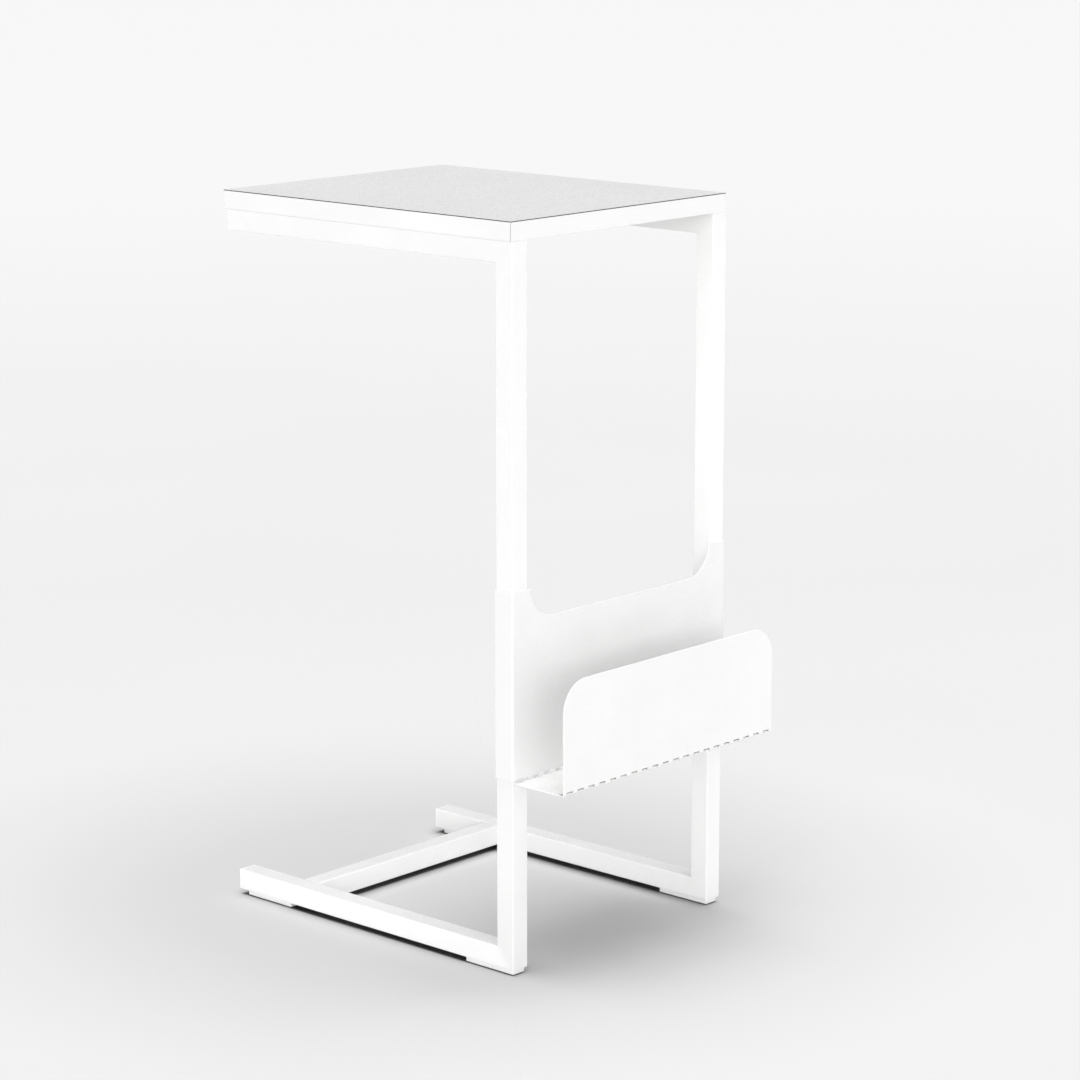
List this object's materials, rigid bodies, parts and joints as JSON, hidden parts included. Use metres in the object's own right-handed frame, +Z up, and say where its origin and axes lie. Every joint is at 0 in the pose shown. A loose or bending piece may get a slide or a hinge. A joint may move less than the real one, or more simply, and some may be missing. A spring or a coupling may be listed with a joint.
{
  "type": "magazine side table",
  "caption": "C-shaped side table in white square steel tube with a flat laminated top and a folded sheet-steel magazine rack clipped round its front posts.",
  "frame": {"origin": "centre of the bounding box on the floor plane", "axes": "+Z up; the rack faces -Y and the legs and top reach to +Y; +X is to the right seen from the rack side"},
  "size_m": [0.303, 0.4348, 0.7],
  "materials": {
    "frame_steel": "white powder coat, fine texture, semi-gloss",
    "rack_steel": "white powder coat, fine texture, semi-gloss",
    "top_laminate": "white decor laminate, fine matt grain, dark core at the cut edge",
    "top_backing": "plain white balancing laminate, matt",
    "top_core": "raw particle board",
    "edge_band": "white edge banding, satin",
    "end_cap": "white moulded plastic, fine grain",
    "glide": "white moulded plastic, matt",
    "fastener": "zinc plated"
  },
  "bodies": {
    "root": {"arm_cap_left": "end_cap", "arm_cap_right": "end_cap", "base_crossbar": "frame_steel", "edge_band_front": "edge_band", "edge_band_left": "edge_band", "edge_band_rear": "edge_band", "edge_band_right": "edge_band", "foot_glide_front_left": "glide", "foot_glide_front_right": "glide", "foot_glide_rear_left": "glide", "foot_glide_rear_right": "glide", "glide_screws": "fastener", "left_arm": "frame_steel", "left_leg": "frame_steel", "left_post": "frame_steel", "leg_cap_left": "end_cap", "leg_cap_right": "end_cap", "rack_rivet_nuts": "fastener", "rack_screws": "fastener", "rack_sheet": "rack_steel", "right_arm": "frame_steel", "right_leg": "frame_steel", "right_post": "frame_steel", "top_backing": "top_backing", "top_core": "top_core", "top_laminate": "top_laminate", "top_screws": "fastener"}
  },
  "joints": []
}
